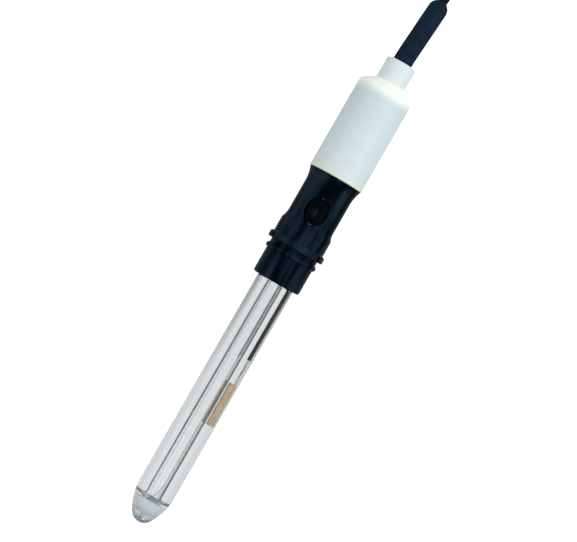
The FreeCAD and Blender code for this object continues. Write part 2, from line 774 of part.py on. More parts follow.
def cap_wiring(lying):
    """The stripped cable in the cap, its clamp, and the two splices to the electrode."""
    core_end = "(jacket_x + clamp_length - 2 * sealed_gap)"
    insulation = tube(
        "insulation", "insulation_x", "jacket_x + clamp_length",
        "insulation_diameter / 2", "core_diameter / 2 + sealed_gap",
    )
    finish(insulation, "cable_insulation", lying)
    finish(rod("core", "core_x", core_end, "core_diameter / 2"), "cable_core", lying)
    clamp_x = "boot_flange_x - clamp_length"
    clamp = tube("clamp", clamp_x, "boot_flange_x", "clamp_diameter / 2", CABLE_HOLE_R)
    finish(clamp, "cable_clamp", lying)

    braid = -value("(insulation_diameter + cable_diameter) / 4")
    side = -value("screen_offset")
    start = value("jacket_x")
    route = [
        (start, braid, 0),
        (start - 2.6, braid - 0.1, 0),
        (start - 6, side, 0),
        (value("splice_x + sealed_gap"), side, 0),
    ]
    shape = swept(route_wire(route, "screen tail"), value("screen_diameter / 2"), "screen tail")
    finish(swept_piece("screen", shape), "screen_tail", lying)

    for name, bore, offset in (
        ("centre_splice", "splice_bore", "splice_side"),
        ("screen_splice", "screen_splice_bore", "(silver_offset + screen_offset) / 2"),
    ):
        splice = tube(
            name, "splice_x", "splice_x + splice_length", f"{bore} / 2 + splice_wall", f"{bore} / 2"
        )
        shift = FreeCAD.Placement(FreeCAD.Vector(0, -value(offset), 0), FreeCAD.Rotation())
        finish(splice, name, lying.multiply(shift))


def racetrack(radius, half, bottom, height):
    """A solid with two straight sides and two round ends about the hank's middle."""
    middle = FreeCAD.Vector(value("hank_x"), 0, bottom)
    corners = [
        middle + FreeCAD.Vector(x * half, y * radius, 0)
        for x, y in ((-1, -1), (1, -1), (1, 1), (-1, 1))
    ]
    near = middle + FreeCAD.Vector(-half - radius, 0, 0)
    far = middle + FreeCAD.Vector(half + radius, 0, 0)
    wire = Part.Wire([
        Part.LineSegment(corners[0], corners[1]).toShape(),
        Part.Arc(corners[1], far, corners[2]).toShape(),
        Part.LineSegment(corners[2], corners[3]).toShape(),
        Part.Arc(corners[3], near, corners[0]).toShape(),
    ])
    return Part.Face(wire).extrude(FreeCAD.Vector(0, 0, height))


def free_cable(lying):
    """The cable outside the electrode: a lead, a tied hank, and a tail into the plug."""
    mouth, heading = boot_wire(value("neck_end_x") - 1, 0)[1:]
    bend = mouth + heading * value("lead_straight")
    ends = [tuple(lying.multVec(point)) for point in (mouth, bend)]
    lead = route_wire([*ends, *LEAD_ROUTE], "cable lead")
    radius = value(CABLE_R)
    upright = FreeCAD.Placement()
    finish(swept_piece("lead", swept(lead, radius, "cable lead")), "cable_lead", upright)

    inner = value("hank_turn_radius") - radius
    outer = value(f"hank_turn_radius + hank_column + {CABLE_R}")
    height = value(f"hank_layers * cable_diameter + {CABLE_R}")
    bottom = value("tie_thickness + tie_clearance")
    half = value("hank_straight / 2")
    bundle = racetrack(outer, half, bottom, height)
    bundle = bundle.makeFillet(0.8 * radius, bundle.Edges)
    bundle = bundle.cut(racetrack(inner, half, bottom - 1, height + 2))
    finish(swept_piece("hank", bundle), "cable_hank", upright)

    width = f"2 * (hank_turn_radius + hank_column + {CABLE_R} + tie_clearance)"
    tall = f"(hank_layers * cable_diameter + {CABLE_R} + 2 * tie_clearance)"
    loop = block(
        "tie_outside", ("tie_width", f"{width} + 2 * tie_thickness", f"{tall} + 2 * tie_thickness"),
        ("hank_x - tie_width / 2", f"-({width}) / 2 - tie_thickness", "0"),
    )
    space = block(
        "tie_inside", ("tie_width + 2", width, tall),
        ("hank_x - tie_width / 2 - 1", f"-({width}) / 2", "tie_thickness"),
    )
    finish(cut("tie", loop, [space]), "hank_tie", upright)

    entry = (value("plug_x"), -value("plug_side"), value("ring_diameter / 2"))
    tail = route_wire([*TAIL_ROUTE, entry], "cable tail")
    finish(swept_piece("tail", swept(tail, radius, "cable tail")), "cable_tail", upright)


def plug_rear(place):
    """The plug's rubber boot, the crimped ferrule and the cable's end in them."""
    boot = turned("plug_boot", [
        ("0", CABLE_HOLE_R),
        ("0", "(plug_boot_rear / 2)"),
        ("(plug_boot_length - plug_boot_band)", "(plug_boot_front / 2)"),
        ("plug_boot_length", "(plug_boot_front / 2)"),
        ("plug_boot_length", "(ferrule_diameter / 2 + cable_clearance)"),
        ("ferrule_x", "(ferrule_diameter / 2 + cable_clearance)"),
        ("ferrule_x", CABLE_HOLE_R),
    ])
    finish(boot, "plug_boot", place)
    crimp = tube(
        "ferrule", "ferrule_x + sealed_gap", "plug_boot_length",
        "ferrule_diameter / 2", "ferrule_diameter / 2 - ferrule_wall",
    )
    finish(crimp, "crimp_ferrule", place)
    end = turned("cable_plug_end", [
        ("0", "0"),
        ("plug_boot_length", "0"),
        ("plug_boot_length", "insulation_diameter / 2"),
        ("ferrule_x", "insulation_diameter / 2"),
        ("ferrule_x", CABLE_R),
        ("0", CABLE_R),
    ])
    finish(end, "cable_plug_end", place)


def plug_body(place):
    """The plug's metal body: crimp neck, grip, running neck, collar and slotted contact."""
    neck = "(plug_neck_diameter / 2)"
    crimp = "(ferrule_diameter / 2 - ferrule_wall - sealed_gap)"
    collar_end = "(plug_collar + plug_collar_width)"
    contact = "(contact_diameter / 2)"
    hollow = "(contact_diameter / 2 - contact_wall)"
    bore = "(insulation_diameter / 2 + cable_clearance)"
    grip_x = "(plug_boot_length + sealed_gap)"
    edge = "(body_diameter / 2 - body_edge)"
    shell = turned("plug_shell", [
        ("crimp_x", bore),
        ("crimp_x", crimp),
        (grip_x, crimp),
        (grip_x, edge),
        (f"({grip_x} + body_edge)", "(body_diameter / 2)"),
        ("(body_end - body_edge)", "(body_diameter / 2)"),
        ("body_end", edge),
        ("body_end", neck),
        ("plug_collar", neck),
        ("plug_collar", "(plug_collar_diameter / 2)"),
        (collar_end, "(plug_collar_diameter / 2)"),
        (collar_end, contact),
        ("(sleeve_front - contact_edge)", contact),
        ("sleeve_front", f"({contact} - contact_edge / 2)"),
        ("sleeve_front", hollow),
        ("plug_collar", hollow),
        ("plug_collar", bore),
    ])
    start = f"{collar_end} + finger_land"
    flat = block(
        "flat_slot", ("sleeve_front", "plug_collar_diameter", "finger_slot"),
        (start, "-plug_collar_diameter / 2", "-finger_slot / 2"),
    )
    upright = block(
        "upright_slot", ("sleeve_front", "finger_slot", "plug_collar_diameter"),
        (start, "-finger_slot / 2", "-plug_collar_diameter / 2"),
    )
    finish(cut("plug_shell", shell, [flat, upright]), "plug_body", place)


def plug_inside(place):
    """The plug's insulator and pin, its face gasket and the washer behind its collar."""
    contact = "(contact_diameter / 2)"
    hollow = f"({contact} - contact_wall - plug_clearance)"
    collar_end = "(plug_collar + plug_collar_width)"
    pin_r = "(pin_diameter / 2)"
    pin_hole = f"({pin_r} + sealed_gap)"
    step = "(insulator_front - insulator_nose)"
    seat = "(plug_collar + sealed_gap)"
    insulator = turned("insulator", [
        (seat, pin_hole),
        (seat, hollow),
        (step, hollow),
        (step, f"({pin_r} + insulator_nose_wall)"),
        ("insulator_front", f"({pin_r} + insulator_nose_wall)"),
        ("insulator_front", pin_hole),
    ])
    finish(insulator, "plug_insulator", place)
    pin_x = "(plug_boot_length + sealed_gap)"
    pin = turned("pin", [
        (pin_x, "0"),
        (f"(pin_front + {pin_r})", "0"),
        ("pin_front", pin_r, pin_r),
        (pin_x, pin_r),
    ])
    finish(pin, "plug_pin", place)
    gasket = tube(
        "gasket", f"{collar_end} + sealed_gap", f"{collar_end} + gasket_width",
        "plug_collar_diameter / 2", f"{contact} + sealed_gap",
    )
    finish(gasket, "plug_gasket", place)
    rear = "(ring_rear + ring_lip + running_gap)"
    front = "(plug_collar - sealed_gap)"
    inner = "(plug_neck_diameter / 2 + running_gap)"
    outer = "(ring_bore / 2 - 2 * running_gap)"
    washer = turned("washer", [
        (rear, inner),
        (f"({front} - ring_edge)", outer),
        (front, outer),
        (f"({rear} + ring_edge)", inner),
    ])
    finish(washer, "spring_washer", place)


def bayonet_tracks(depth_r, through_r):
    """Cutters in a close row along two curved tracks, each ending in a through hole."""
    front = value("ring_front")
    entry = value("ring_front - bayonet_entry")
    hole_x = value("bayonet_hole_x")
    steps = int(value("bayonet_steps"))
    start_r = value("ring_bore / 2 - contact_wall")
    places = [(front, 0, depth_r), ((front + entry) / 2, 0, depth_r)]
    for step in range(steps + 1):
        part_way = step / steps
        reach = through_r if step == steps else depth_r
        places.append((entry + (hole_x - entry) * part_way, value("bayonet_turn") * part_way, reach))
    cutters = []
    for side in (0, 180):
        for station, turn, reach in places:
            angle = math.radians(side + turn)
            out = FreeCAD.Vector(0, math.cos(angle), math.sin(angle))
            base = FreeCAD.Vector(station, 0, 0) + out * start_r
            cutters.append(Part.makeCylinder(value("bayonet_width / 2"), reach - start_r, base, out))
    return cutters


def coupling_ring(place):
    """The turning bayonet ring, knurled outside and with two curved tracks inside."""
    grip = "(ring_diameter / 2)"
    barrel = "(ring_barrel_diameter / 2)"
    neck = "(plug_neck_diameter / 2 + running_gap)"
    ring = turned("ring", [
        ("ring_rear", neck),
        ("ring_rear", f"({grip} - ring_edge)"),
        ("(ring_rear + ring_edge)", grip),
        ("(ring_rear + grip_band)", grip),
        ("(ring_rear + grip_band + ring_edge)", barrel),
        ("(ring_front - ring_edge)", barrel),
        ("ring_front", f"({barrel} - ring_edge)"),
        ("ring_front", "(ring_bore / 2)"),
        ("(ring_rear + ring_lip)", "(ring_bore / 2)"),
        ("(ring_rear + ring_lip)", neck),
    ])
    sketch = ring.newObject("Sketcher::SketchObject", "knurl_outline")
    sketch.AttachmentSupport = [(plane_of(ring, "YZ_Plane"), "")]
    sketch.MapMode = "FlatFace"
    sketch.setExpression("AttachmentOffset.Base.z", bound("ring_rear - ring_edge"))
    circle = Part.Circle(
        FreeCAD.Vector(0, value(grip), 0), FreeCAD.Vector(0, 0, 1), value("knurl_depth")
    )
    sketch.addGeometry(circle)
    sketch.addConstraint(Sketcher.Constraint("PointOnObject", 0, 3, -2))
    for kind, text in (("DistanceY", grip), ("Radius", "knurl_depth")):
        ends = (-1, 1, 0, 3) if kind == "DistanceY" else (0,)
        index = sketch.addConstraint(Sketcher.Constraint(kind, *ends, value(text)))
        sketch.setExpression(f"Constraints[{index}]", bound(text))
    document.recompute()
    knurl = ring.newObject("PartDesign::Pocket", "knurl")
    knurl.Profile = sketch
    knurl.Reversed = True
    knurl.setExpression("Length", bound("grip_band + 3 * ring_edge"))
    document.recompute()
    around = ring.newObject("PartDesign::PolarPattern", "knurls")
    around.Originals = [knurl]
    around.Axis = (plane_of(ring, "X_Axis"), [""])
    around.Angle = 360
    around.setExpression("Occurrences", bound("knurl_count"))
    ring.Tip = around
    document.recompute()
    depth_r = value(f"(ring_bore / 2 + {barrel}) / 2")
    shape = ring.Shape.cut(bayonet_tracks(depth_r, value("ring_diameter")))
    finish(swept_piece("coupling", shape), "coupling_ring", place)


def lying_place():
    """How the finished electrode lies: on its nose and on the rim of its flange."""
    arc = value(NOSE_ARC)
    rim = value("flange_round")
    rise = value(f"flange_diameter / 2 - flange_round - {GLASS_R}") + arc
    reach = value("flange_x - flange_width / 2 + flange_round - nose_length")
    tilt = math.acos((arc - rim) / math.hypot(rise, reach)) - math.atan2(reach, rise)
    rim_x = reach + value("nose_length")
    lift = (value("flange_diameter / 2") - rim) * math.cos(tilt) + rim - rim_x * math.sin(tilt)
    tip, heading = boot_wire(value("neck_end_x") - 1, 0)[1:]
    dome = tip - heading * value(BOOT_R)
    high = dome.x * math.cos(tilt) + value(BOOT_R)
    low = value("tip_radius") * (math.cos(tilt) - 1)
    turn = FreeCAD.Rotation(FreeCAD.Vector(0, 1, 0), -math.degrees(tilt))
    print("tilt", round(math.degrees(tilt), 3), "lift", round(lift, 3))
    return FreeCAD.Placement(FreeCAD.Vector(-(high + low) / 2, 0, lift), turn)


def write_files():
    """Checks every object, then writes one file for each piece."""
    document.recompute()
    for item in document.Objects:
        if "Invalid" in item.State or "Error" in item.State:
            raise RuntimeError(f"{item.Name} failed: {item.State}")
    for piece in parts:
        if piece.Shape.isNull() or not piece.Shape.isValid():
            raise RuntimeError(f"{piece.Label} has no valid shape")
    os.makedirs("parts", exist_ok=True)
    for piece in parts:
        piece.Shape.exportStep(f"parts/{piece.Label}.step")


fill_sheet()
lying = lying_place()
glass_body(lying)
platinum_parts(lying)
reference_parts(lying)
closures(lying)
electrode_head(lying)
filling_stopper(lying)
white_cap(lying)
boot_and_cable_end(lying)
cap_wiring(lying)
free_cable(lying)
plug_place = FreeCAD.Placement(
    FreeCAD.Vector(value("plug_x"), -value("plug_side"), value("ring_diameter / 2")),
    FreeCAD.Rotation(),
)
plug_rear(plug_place)
plug_body(plug_place)
plug_inside(plug_place)
coupling_ring(plug_place)
write_files()
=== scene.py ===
import math

import bpy
from mathutils import Matrix, Vector


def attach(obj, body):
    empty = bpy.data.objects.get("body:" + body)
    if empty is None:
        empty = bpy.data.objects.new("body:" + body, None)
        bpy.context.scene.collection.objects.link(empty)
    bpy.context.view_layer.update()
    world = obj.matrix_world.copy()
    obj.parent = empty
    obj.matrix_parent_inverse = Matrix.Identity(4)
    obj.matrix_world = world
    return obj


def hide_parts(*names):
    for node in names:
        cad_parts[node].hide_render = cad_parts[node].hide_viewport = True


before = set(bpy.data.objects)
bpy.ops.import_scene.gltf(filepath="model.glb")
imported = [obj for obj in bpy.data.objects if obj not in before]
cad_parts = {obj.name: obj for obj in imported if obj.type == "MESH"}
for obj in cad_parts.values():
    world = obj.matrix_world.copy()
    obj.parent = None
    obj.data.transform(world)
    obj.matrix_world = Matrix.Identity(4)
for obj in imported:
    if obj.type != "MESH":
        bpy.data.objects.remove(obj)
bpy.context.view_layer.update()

# The electrode's own frame: it lies on its nose and on the flange of its head.
TILT = math.radians(2.23292317)
ORIGIN = Vector((-0.09043318, 0.0, 0.00556133))
ALONG = Vector((math.cos(TILT), 0.0, math.sin(TILT)))
SIDE = Vector((0.0, 1.0, 0.0))
UP = Vector((-math.sin(TILT), 0.0, math.cos(TILT)))


def station(x, y=0.0, z=0.0):
    """A point given in millimetres from the tip, in the electrode's own frame."""
    return ORIGIN + (ALONG * x + SIDE * y + UP * z) / 1000


# Camera: straight above the electrode, turned until it leans as in the photo
LEAN = math.radians(60.085)
LENS = 135.0
SENSOR = 36.0
PICTURE_WIDTH = 0.1733
PICTURE_MIDDLE = station(87.73, -1.594)
camera_data = bpy.data.cameras.new("camera")
camera_data.lens = LENS
camera_data.sensor_width = SENSOR
camera = bpy.data.objects.new("camera", camera_data)
bpy.context.scene.collection.objects.link(camera)
right = ALONG * math.cos(LEAN) - SIDE * math.sin(LEAN)
upward = ALONG * math.sin(LEAN) + SIDE * math.cos(LEAN)
eye = PICTURE_MIDDLE + UP * (PICTURE_WIDTH * LENS / SENSOR)
turn = Matrix((right, upward, UP)).transposed().to_4x4()
camera.matrix_world = Matrix.Translation(eye) @ turn
bpy.context.scene.camera = camera


# Shader helpers
def linear(text):
    """A colour written as six hex digits, as the shader wants it."""
    parts = [int(text[i:i + 2], 16) / 255 for i in (0, 2, 4)]
    return [c / 12.92 if c <= 0.04045 else ((c + 0.055) / 1.055) ** 2.4 for c in parts] + [1.0]


def empty_material(name):
    """A new material, its node tree and the one node in it, the output."""
    material = bpy.data.materials.new(name)
    material.use_nodes = True
    tree = material.node_tree
    tree.nodes.clear()
    return material, tree, tree.nodes.new("ShaderNodeOutputMaterial")


def new_material(name):
    material, tree, out = empty_material(name)
    shader = tree.nodes.new("ShaderNodeBsdfPrincipled")
    tree.links.new(shader.outputs["BSDF"], out.inputs["Surface"])
    return material, tree, shader


def shader_of(material):
    return next(n for n in material.node_tree.nodes if n.type == "BSDF_PRINCIPLED")


def combined(tree, operation, one, other):
    node = tree.nodes.new("ShaderNodeMath")
    node.operation = operation
    tree.links.new(one, node.inputs[0])
    tree.links.new(other, node.inputs[1])
    return node.outputs[0]


def vector_node(tree, operation, source, constant=None):
    node = tree.nodes.new("ShaderNodeVectorMath")
    node.operation = operation
    tree.links.new(source, node.inputs[0])
    if constant is not None:
        node.inputs[1].default_value = constant
    return node


def mapped(tree, value, first, last, low=0.0, high=1.0):
    """low where the value is first or less, high where it is last or more."""
    node = tree.nodes.new("ShaderNodeMapRange")
    limits = {"From Min": first, "From Max": last, "To Min": low, "To Max": high}
    for socket, number in limits.items():
        node.inputs[socket].default_value = number
    tree.links.new(value, node.inputs["Value"])
    return node.outputs["Result"]


def place_of(tree):
    return tree.nodes.new("ShaderNodeTexCoord").outputs["Object"]


def along(tree, first, last, low=0.0, high=1.0):
    """low at the first station in millimetres from the tip, high at the last."""
    dot = vector_node(tree, "DOT_PRODUCT", place_of(tree), ALONG)
    shift = tree.nodes.new("ShaderNodeMath")
    shift.operation = "SUBTRACT"
    shift.inputs[1].default_value = ORIGIN.dot(ALONG)
    tree.links.new(dot.outputs["Value"], shift.inputs[0])
    return mapped(tree, shift.outputs[0], first / 1000, last / 1000, low, high)


def radius(tree, first, last, low=0.0, high=1.0):
    """low at the first distance in millimetres from the electrode's axis, high at the last."""
    shifted = vector_node(tree, "SUBTRACT", place_of(tree), ORIGIN)
    crossed = vector_node(tree, "CROSS_PRODUCT", shifted.outputs[0], ALONG)
    length = vector_node(tree, "LENGTH", crossed.outputs[0])
    return mapped(tree, length.outputs["Value"], first / 1000, last / 1000, low, high)


def noise(tree, scale, detail, stretch=None):
    """Noise over the object's own metres, stretched along an axis where asked."""
    texture = tree.nodes.new("ShaderNodeTexNoise")
    texture.inputs["Scale"].default_value = scale
    texture.inputs["Detail"].default_value = detail
    source = place_of(tree)
    if stretch:
        mapping = tree.nodes.new("ShaderNodeMapping")
        mapping.inputs["Scale"].default_value = stretch
        tree.links.new(source, mapping.inputs["Vector"])
        source = mapping.outputs["Vector"]
    tree.links.new(source, texture.inputs["Vector"])
    return texture.outputs["Fac"]


def ramp(tree, value, stops):
    node = tree.nodes.new("ShaderNodeValToRGB")
    elements = node.color_ramp.elements
    while len(elements) < len(stops):
        elements.new(0.5)
    for element, (position, colour) in zip(elements, stops):
        element.position = position
        element.color = colour
    tree.links.new(value, node.inputs["Fac"])
    return node.outputs["Color"]


def two_tone(tree, value, first, last, start=0.0, end=1.0):
    """A ramp from one hex colour to another."""
    return ramp(tree, value, [(start, linear(first)), (end, linear(last))])


def tint(material, colours):
    """Multiplies what feeds the base colour by another colour."""
    tree, base = material.node_tree, shader_of(material).inputs["Base Color"]
    node = tree.nodes.new("ShaderNodeMix")
    node.data_type = "RGBA"
    node.blend_type = "MULTIPLY"
    node.inputs["Factor"].default_value = 1.0
    tree.links.new(base.links[0].from_socket, node.inputs["A"])
    tree.links.new(colours, node.inputs["B"])
    tree.links.new(node.outputs["Result"], base)


def bump(tree, shader, value, distance):
    node = tree.nodes.new("ShaderNodeBump")
    node.inputs["Distance"].default_value = distance
    node.inputs["Strength"].default_value = 1.0
    tree.links.new(value, node.inputs["Height"])
    tree.links.new(node.outputs["Normal"], shader.inputs["Normal"])


GLOSS_RANGE = 0.06


def surface(name, colour, other, roughness, grain, depth, stretch=None, **values):
    """A material whose colour and gloss vary a little with a fine noise, and its bump."""
    material, tree, shader = new_material(name)
    cloud = noise(tree, grain / 6, 2.0, stretch)
    fine = noise(tree, grain, 4.0, stretch)
    mottled = two_tone(tree, cloud, colour, other, 0.35, 0.65)
    tree.links.new(mottled, shader.inputs["Base Color"])
    gloss = mapped(tree, fine, 0.0, 1.0, roughness - GLOSS_RANGE, roughness + GLOSS_RANGE)
    tree.links.new(gloss, shader.inputs["Roughness"])
    bump(tree, shader, fine, depth)
    for socket, value in values.items():
        shader.inputs[socket.replace("_", " ")].default_value = value
    return material


# Materials of single pieces. Each pair of stations or of distances from the axis, in
# millimetres, is where a look starts to change and where the change ends.
GLASS_IOR = 1.45
CHAMBER_IOR = 1.28
NOSE_END = (7.2, 8.6)
NOSE_CLARITY = 0.42
PLATINUM_END = (2.2, 5.6)
INNER_TUBE_END = (3.4, 3.8)
# Painted shade: how squarely the glass faces the view where its inner tube's and outer rim's
# edges are darkened, and how much.
INNER_TUBE_FACING = (0.22, 0.40)
RIM_FACING = (0.26, 0.6)
RIM_EDGE_SHADE = 0.6
UPPER_GLASS = (45, 80)
LOWER_RIM_SHADE_SHARE = 0.12
DARK_LEAD_START = (57.5, 58.5)
STOPPER_MIDDLE = station(106.6, 0.4, 7.7)
# Cap tones along its length. The cream at its lower edge and on its shoulder is painted
# highlight.
CAP_TONES_AND_HIGHLIGHTS = [
    (118.0, "DCDFD8"), (119.6, "DDDED2"), (120.6, "D4DCDA"), (126.0, "D1DCE0"),
    (145.8, "CBD7DC"), (148.2, "F3F6EC"), (151.2, "F6F8EE"), (152.0, "D7DFDF"),
    (160.0, "D9E1E2"),
]


def glass_material(name, ior, core_edge_shade):
    """Clear drawn glass with painted shade darkening its tubes' edges, the outer rim's more
    towards the head, and a nose of milky sealing glass.
    """
    material, tree, shader = new_material(name)
    shader.inputs["IOR"].default_value = ior
    weight = tree.nodes.new("ShaderNodeLayerWeight")
    weight.inputs["Blend"].default_value = 0.5
    facing = weight.outputs["Facing"]
    # Painted shade along the inner tube's edges, where they turn away from the view.
    core = combined(
        tree, "MULTIPLY", mapped(tree, facing, *INNER_TUBE_FACING, 0.0, core_edge_shade),
        radius(tree, *INNER_TUBE_END, 1.0, 0.0),
    )
    # Painted shade along the outer rim's edges, weak near the nose and strong towards the head.
    rim = combined(
        tree, "MULTIPLY", mapped(tree, facing, *RIM_FACING, 0.0, RIM_EDGE_SHADE),
        along(tree, *UPPER_GLASS, LOWER_RIM_SHADE_SHARE, 1.0),
    )
    nose = along(tree, *NOSE_END)
    shade = combined(tree, "MULTIPLY", combined(tree, "MAXIMUM", core, rim), nose)
    tree.links.new(two_tone(tree, shade, "FFFFFF", "101214"), shader.inputs["Base Color"])
    tint(material, two_tone(tree, nose, "DDE6EC", "FCFDFD"))
    milky = mapped(tree, nose, 0.0, 1.0, NOSE_CLARITY, 1.0)
    clear = combined(tree, "ADD", milky, along(tree, *PLATINUM_END, NOSE_CLARITY, 0.0))
    tree.links.new(clear, shader.inputs["Transmission Weight"])
    rough = mapped(tree, noise(tree, 300, 2.0), 0.0, 1.0, 0.0, 0.03)
    tree.links.new(rough, shader.inputs["Roughness"])
    bump(tree, shader, noise(tree, 140, 2.0, (0.12, 1.0, 1.0)), 0.000005)
    return material


def cap_material():
    """Pale satin plastic with painted highlights in cream at its lower edge and on its shoulder,
    lighter on its neck.
    """
    material = surface(
        "cap plastic", "F8FBFC", "F4F8F9", 0.5, 2600, 0.000003, Specular_IOR_Level=0.3,
    )
    first, last = CAP_TONES_AND_HIGHLIGHTS[0][0], CAP_TONES_AND_HIGHLIGHTS[-1][0]
    tones = [((at - first) / (last - first), linear(tone)) for at, tone in CAP_TONES_AND_HIGHLIGHTS]
    tree = material.node_tree
    tint(material, ramp(tree, along(tree, first, last), tones))
    return material


def head_material():
    """Blue-black moulded plastic with faint lighter streaks along its length, which are painted
    highlights.
    """
    material = surface(
        "head plastic", "FFFFFF", "F0F2F4", 0.3, 2600, 0.000003,
        Specular_IOR_Level=0.02, Specular_Tint=(0.42, 0.72, 1.0, 1.0),
    )
    tree = material.node_tree
    # Painted highlights: lighter streaks along the head, in place of lamp highlights.
    highlight_streaks = noise(tree, 260, 2.0, (0.13, 1.0, 1.0))
    tint(material, two_tone(tree, highlight_streaks, "01050C", "1A2835", 0.42, 0.60))
    return material


def stopper_material():
    """Near-black rubber, a little lighter in the middle of its face, with painted shade darkening
    it outward as in its recess.
    """
    material = surface(
        "stopper rubber", "FFFFFF", "DDE2E6", 0.36, 3000, 0.000006, Specular_IOR_Level=0.02,
    )
    tree = material.node_tree
    # Painted shade: the face darkens away from its middle, towards the walls of its recess.
    reach = vector_node(tree, "DISTANCE", place_of(tree), STOPPER_MIDDLE)
    outward = mapped(tree, reach.outputs["Value"], 0.0003, 0.0018)
    tint(material, two_tone(tree, outward, "15202A", "010409"))
    return material


def lead_material():
    """Platinum wire, painted dark and dull where it nears the head, as a painted reflection of
    the dark sleeve beside it.
    """
    material = surface("platinum lead", "C9C7C2", "B4B2AD", 0.3, 2400, 0.000004)
    tree = material.node_tree
    # Painted reflection: from here towards the head, the wire turns dark and dull.
    bare = along(tree, *DARK_LEAD_START, 1.0, 0.0)
    tree.links.new(bare, shader_of(material).inputs["Metallic"])
    tint(material, two_tone(tree, bare, "3A3C40", "FFFFFF"))
    return material


DULL = {"Specular_IOR_Level": 0.035}
METAL = {"Metallic": 1.0}
# The clear glass paints a light shade along its inner tube's edges.
glass = glass_material("clear glass", GLASS_IOR, 0.3)
platinum = surface("platinum", "B9B6B0", "9B9892", 0.28, 2400, 0.000004, **METAL)
ceramic = surface("ceramic", "D8D2C6", "BDB5A8", 0.75, 5000, 0.00002)
tan = surface("silver chloride", "CDB292", "BCA182", 0.7, 3600, 0.00003)
silver = surface("silver wire", "B4B1AA", "8E8B84", 0.35, 2500, 0.000004, **METAL)
sleeve = surface("shrunk sleeve", "24272B", "1A1C20", 0.5, 2600, 0.00001, **DULL)
resin = surface("dark resin", "14181C", "0D1013", 0.35, 1800, 0.00001, **DULL)
head = head_material()
seal = surface("seal rubber", "15171A", "0E1012", 0.6, 2600, 0.00001)
stopper = stopper_material()
cap = cap_material()
boot = surface("boot rubber", "142435", "101D2C", 0.55, 2600, 0.000006, **DULL)
jacket = surface("cable jacket", "14181E", "0F1318", 0.5, 3000, 0.00001, **DULL)
white = surface("white insulation", "E4E3DF", "D8D6D0", 0.45, 2400, 0.000006)
copper = surface("copper wire", "B87450", "9C5E3E", 0.3, 3000, 0.000006, **METAL)
tinned = surface("tinned metal", "A9A8A4", "8F8E8A", 0.35, 2600, 0.000008, **METAL)
nickel = surface("nickel plate", "B8B4AC", "A5A199", 0.24, 2600, 0.000004, **METAL)
gold = surface("gold plate", "C9A45A", "B8934C", 0.25, 2600, 0.000004, **METAL)
strap = surface("woven strap", "17191C", "0F1113", 0.85, 5200, 0.00006, (1.0, 3.0, 3.0))

LOOKS = {
    "glass_body": glass, "platinum_tip": platinum, "platinum_lead": lead_material(),
    "ceramic_junction": ceramic, "reference_cartridge": tan, "reference_wire": silver,
    "reference_sleeve": sleeve, "chamber_plug": resin, "inner_tube_plug": resin,
    "potting_ring": resin, "electrode_head": head, "lower_seal_ring": seal,
    "upper_seal_ring": seal, "cap_seal_ring": seal, "filling_stopper": stopper,
    "white_cap": cap, "strain_relief_boot": boot, "cable_inner_end": jacket,
    "cable_insulation": white, "cable_core": copper, "cable_clamp": tinned,
    "screen_tail": copper, "centre_splice": tinned, "screen_splice": tinned,
    "plug_boot": seal, "crimp_ferrule": nickel, "cable_plug_end": jacket,
    "plug_body": nickel, "plug_insulator": white, "plug_pin": gold,
    "plug_gasket": seal, "spring_washer": nickel, "coupling_ring": nickel,
}
for node, look in LOOKS.items():
    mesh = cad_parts[node].data
    mesh.materials.clear()
    mesh.materials.append(look)

# The chamber's own faces bend light as if a liquid filled it, so that its parts look larger.
CHAMBER_START = 0.0086
CHAMBER_RADII = (0.002, 0.0053)
glass_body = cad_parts["glass_body"]
# Inside the chamber, the inner tube's edges get a painted shade that is almost black.
glass_body.data.materials.append(glass_material("chamber glass", CHAMBER_IOR, 0.98))
for face in glass_body.data.polygons:
    reach = glass_body.matrix_world @ face.center - ORIGIN
    outward = reach.cross(ALONG).length
    if reach.dot(ALONG) > CHAMBER_START and CHAMBER_RADII[0] < outward < CHAMBER_RADII[1]:
        face.material_index = 1


# Cable, in millimetres: one spline from the boot through the hank's laps to the plug
HANK_X = 127.0
ROUND_END = 12.0
STRAIGHT = 6.0
ARC_STEP = 30
INNER_RADIUS = 9.0
OUTER_RADIUS = 11.6
BOOT_END = (180.99678, -1.45821)
BEYOND_BOOT = (189.77534, -2.07207)
LEAD = [(110.6, -10.2, 12.9), (121.0, -11.6, 12.8)]
TAIL = [(131.5, -11.6, 9.8), (141.5, -12.0, 9.7), (152.5, -6.3, 7.6), (160.5, -5.85, 7.25)]
LAPS = [(OUTER_RADIUS, 12.55)]
LAPS += [(INNER_RADIUS, height) for height in (11.05, 8.05, 5.05, 2.05)]
LAPS += [(OUTER_RADIUS, height) for height in (3.55, 6.55, 9.55)]


def round_end(centre, first, half, height):
    """Control points of half a turn, outside the circle by what the spline cuts off."""
    corner = half / math.cos(math.radians(ARC_STEP / 2))
    for step in range(180 // ARC_STEP):
        angle = math.radians(first + ARC_STEP * (step + 0.5))
        yield centre + corner * math.cos(angle), corner * math.sin(angle), height


exit_point = station(*BOOT_END)
route = [tuple(exit_point * 1000), tuple(station(*BEYOND_BOOT) * 1000)] + LEAD
for number, (half, height) in enumerate(LAPS):
    route.append((HANK_X + STRAIGHT, -half, height))
    route += round_end(HANK_X + ROUND_END, -90, half, height)
    route += [(HANK_X + STRAIGHT, half, height), (HANK_X - STRAIGHT, half, height)]
    route += round_end(HANK_X - ROUND_END, 90, half, height)
    if number < len(LAPS) - 1:
        route.append((HANK_X - STRAIGHT, -half, height))
route += TAIL

